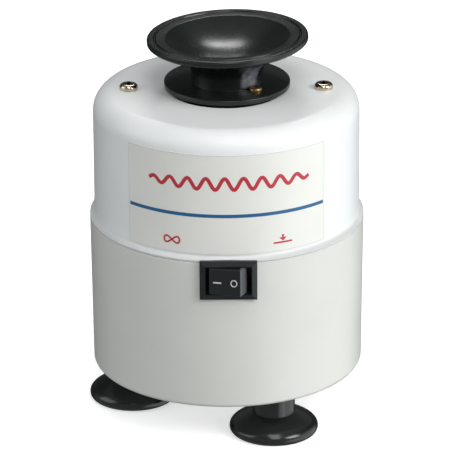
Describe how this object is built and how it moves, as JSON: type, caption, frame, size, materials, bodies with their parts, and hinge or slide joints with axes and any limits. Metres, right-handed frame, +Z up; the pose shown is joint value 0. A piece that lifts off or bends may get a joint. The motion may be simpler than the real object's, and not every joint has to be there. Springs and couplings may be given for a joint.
{
  "type": "vortex mixer",
  "caption": "Compact bench vortex mixer: round white enamelled case on rubber suction feet, rocker switch, sprung touch-start drive and an orbiting black rubber cup head.",
  "frame": {"origin": "on the bench surface under the housing's axis, which is also the motor shaft's axis", "axes": "+Z up along the shaft, -Y towards the front (switch and label), +X to the right seen from the front"},
  "size_m": [0.1032, 0.1093, 0.1442],
  "materials": {
    "shell_white": "glossy baked enamel, slightly cool white",
    "film": "printed polyester film with a red wave and a blue rule",
    "nickel_brass": "nickel-flashed brass, bright",
    "rubber_black": "moulded black rubber, semi-gloss",
    "switch_black": "moulded nylon, satin",
    "steel_bright": "zinc-plated steel",
    "cast_iron": "sand-cast, painted dark",
    "silicon_steel": "stacked electrical steel laminations",
    "copper_wire": "enamelled copper",
    "bobbin_nylon": "natural nylon",
    "bronze": "sintered bronze",
    "aluminium": "die-cast aluminium",
    "brass": "turned brass",
    "carrier_black": "glass-filled nylon",
    "spring_steel": "bright spring wire",
    "micro_grey": "moulded phenolic",
    "plunger_red": "acetal",
    "terminal_white": "polyamide",
    "wire_brown": "PVC insulation",
    "wire_blue": "PVC insulation",
    "wire_black": "PVC insulation"
  },
  "bodies": {
    "case": {"lower_housing": "shell_white", "top_cover": "shell_white", "label_film": "film", "cover_screws": "nickel_brass", "suction_foot_front": "rubber_black", "suction_foot_rear": "rubber_black", "suction_foot_left": "rubber_black", "foot_studs": "steel_bright", "ballast_plate": "cast_iron", "cover_pillars": "steel_bright", "switch_frame": "switch_black", "switch_terminals": "brass", "cord_gland": "rubber_black", "guide_posts": "steel_bright", "post_stop_nuts": "steel_bright", "touch_springs": "spring_steel", "touch_switch": "micro_grey", "touch_switch_screws": "steel_bright", "touch_switch_tabs": "brass", "touch_bracket": "steel_bright", "bracket_screw": "steel_bright", "terminal_block": "terminal_white", "terminal_clamp_screws": "brass", "terminal_block_screws": "steel_bright", "wire_supply": "wire_brown", "wire_switched": "wire_blue", "wire_link": "wire_black"},
    "paddle": {"switch_paddle": "switch_black"},
    "plunger": {"touch_plunger": "plunger_red"},
    "carriage": {"motor_plate": "steel_bright", "stator_core": "silicon_steel", "shading_bars": "copper_wire", "coil_bobbin": "bobbin_nylon", "coil_winding": "copper_wire", "upper_bracket": "steel_bright", "lower_bracket": "steel_bright", "shaft_bushes": "bronze", "motor_screws": "steel_bright", "motor_nuts": "steel_bright", "plate_rivets": "aluminium"},
    "rotor": {"motor_shaft": "steel_bright", "rotor_core": "silicon_steel", "rotor_end_rings": "aluminium", "thrust_washers": "terminal_white", "eccentric_hub": "steel_bright", "hub_set_screw": "steel_bright", "counterweight": "brass", "pin_clip": "spring_steel", "bearing_inner_race": "spring_steel"},
    "head": {"bearing_outer_race": "spring_steel", "head_carrier": "carrier_black", "rubber_cup": "rubber_black", "flange_screws": "brass"}
  },
  "joints": [
    {"name": "rocker", "type": "hinge", "parent": "case", "child": "paddle", "pos_m": [0.00055, -0.0471, 0.0686], "axis": [0, 0, 1], "range_deg": [0, 24.8]},
    {"name": "touch_press", "type": "slide", "parent": "case", "child": "carriage", "axis": [0, 0, -1], "range_m": [0, 0.0005], "stiffness_N_per_m": 3500, "springref_m": -0.0045, "deforming": ["touch_springs"]},
    {"name": "plunger_press", "type": "slide", "parent": "case", "child": "plunger", "axis": [0, 0, -1], "range_m": [0, 0.0005]},
    {"name": "drive_spin", "type": "hinge", "parent": "carriage", "child": "rotor", "pos_m": [0, 0, 0.075], "axis": [0, 0, 1], "continuous": true},
    {"name": "head_hold", "type": "hinge", "parent": "rotor", "child": "head", "pos_m": [0.00035, 0.00197, 0.116], "axis": [0, 0, 1], "continuous": true}
  ],
  "couplings": [
    {"joint": "plunger_press", "follows": "touch_press", "ratio": 1},
    {"joint": "head_hold", "follows": "drive_spin", "ratio": -1}
  ]
}
